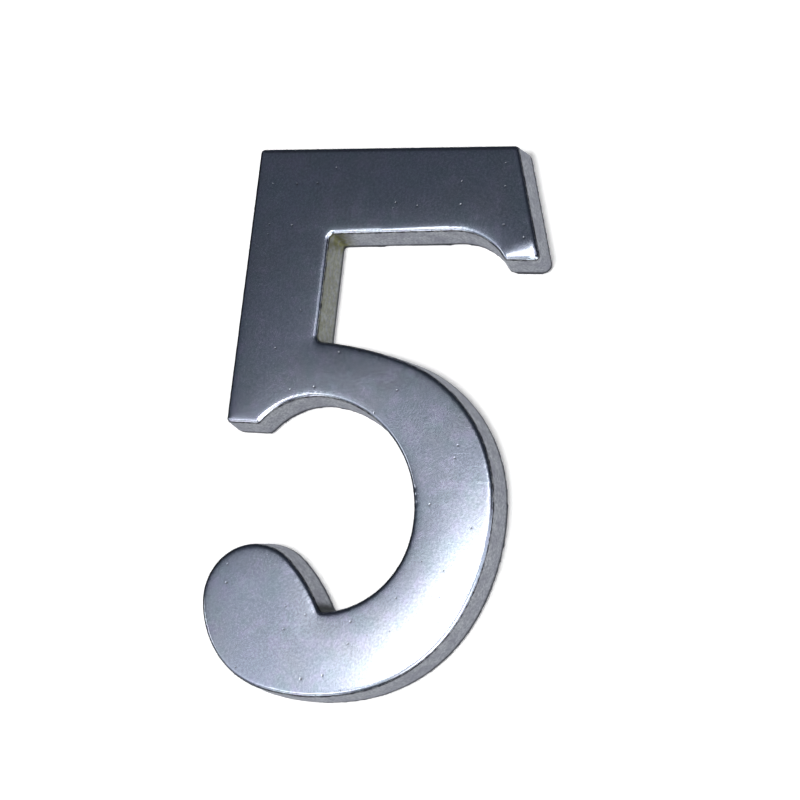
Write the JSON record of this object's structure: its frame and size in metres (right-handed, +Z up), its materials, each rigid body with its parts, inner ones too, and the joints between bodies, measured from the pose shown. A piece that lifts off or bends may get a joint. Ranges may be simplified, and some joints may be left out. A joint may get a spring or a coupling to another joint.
{
  "type": "house number",
  "caption": "Cast metal figure five with a flared flag, an upright stem, a round bowl and a ball end, with blind stud holes in its flat back.",
  "frame": {"origin": "midway between the two stud holes, on the flat back", "axes": "+Z up along the figure's height, +X to the right as it is read, +Y out of the back into the wall; the face looks towards -Y"},
  "size_m": [0.0597, 0.0068, 0.1041],
  "materials": {
    "cast_metal": "satin, rubbed face with fine grain, matt as-cast sides"
  },
  "bodies": {
    "root": {"numeral": "cast_metal"}
  },
  "joints": []
}
